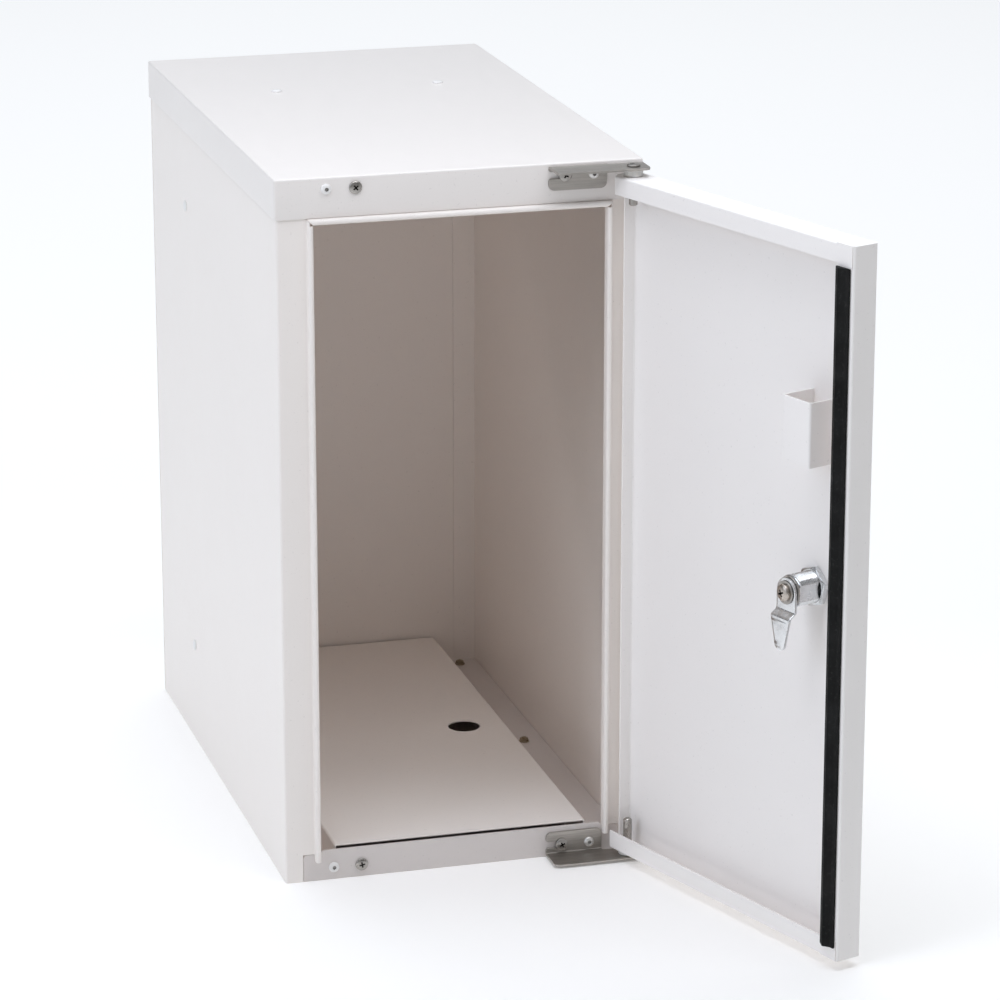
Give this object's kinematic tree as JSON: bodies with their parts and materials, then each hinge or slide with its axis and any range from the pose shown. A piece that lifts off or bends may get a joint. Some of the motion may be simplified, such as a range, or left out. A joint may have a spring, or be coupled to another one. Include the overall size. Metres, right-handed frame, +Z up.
{
  "type": "parcel drop box",
  "caption": "Floor-standing sheet-steel parcel box: cabinet with cap, raised floor and framed opening, and a side-hinged door with a cam lock and seal strip.",
  "frame": {"origin": "centre of the base tray's underside, level with the side panels' bottom folds; the open door doesn't count", "axes": "+Z up, -Y the way the opening faces, +X to the right seen from the front, towards the hinge"},
  "size_m": [0.3346, 0.6723, 0.5012],
  "materials": {
    "cap_paint": "fine satin powder coat, cool white-grey",
    "body_paint": "fine satin powder coat, cool light grey",
    "tray_paint": "fine satin powder coat, light grey",
    "door_paint": "fine satin powder coat, cool light grey",
    "rivet_paint": "painted over, satin",
    "fastener_steel": "bright plated steel, lightly brushed",
    "stainless": "brushed along its length",
    "chrome": "polished plating",
    "rubber": "matt black, slightly dusty",
    "nylon": "off-white, smooth"
  },
  "bodies": {
    "cabinet": {"top_cap": "cap_paint", "left_side_panel": "body_paint", "right_side_panel": "body_paint", "back_panel": "body_paint", "top_rail": "body_paint", "bottom_tray": "tray_paint", "floor_plate": "tray_paint", "cap_rivet": "rivet_paint", "tray_rivet": "rivet_paint", "side_plug_1": "rivet_paint", "side_plug_2": "rivet_paint", "top_plug_1": "rivet_paint", "top_plug_2": "rivet_paint", "floor_bolt_left_1": "fastener_steel", "floor_bolt_left_2": "fastener_steel", "floor_bolt_left_3": "fastener_steel", "floor_bolt_right_1": "fastener_steel", "floor_bolt_right_2": "fastener_steel", "floor_bolt_right_3": "fastener_steel", "cap_screw": "fastener_steel", "tray_screw": "fastener_steel", "upper_bracket_rivet": "fastener_steel", "upper_bracket_screw": "fastener_steel", "lower_bracket_rivet": "fastener_steel", "lower_bracket_screw": "fastener_steel", "upper_hinge_pin": "fastener_steel", "lower_hinge_pin": "fastener_steel", "upper_bracket": "stainless", "lower_bracket": "stainless", "upper_washer": "nylon", "lower_washer": "nylon"},
    "door": {"door_panel": "door_paint", "door_seal": "rubber", "channel_bracket": "door_paint", "lock_housing": "chrome", "lock_nut": "chrome"},
    "lock_cylinder": {"lock_plug": "chrome", "lock_stop_washer": "fastener_steel", "lock_cam": "chrome", "lock_washer": "fastener_steel", "cam_screw": "chrome"}
  },
  "joints": [
    {"name": "door_hinge", "type": "hinge", "parent": "cabinet", "child": "door", "pos_m": [0.1165, -0.2275, 0.25], "axis": [0, 0, 1], "range_deg": [-109.5, 80]},
    {"name": "lock_turn", "type": "hinge", "parent": "door", "child": "lock_cylinder", "pos_m": [0.16878, -0.41108, 0.251], "axis": [-0.9426, -0.3338, 0], "range_deg": [0, 90]}
  ]
}
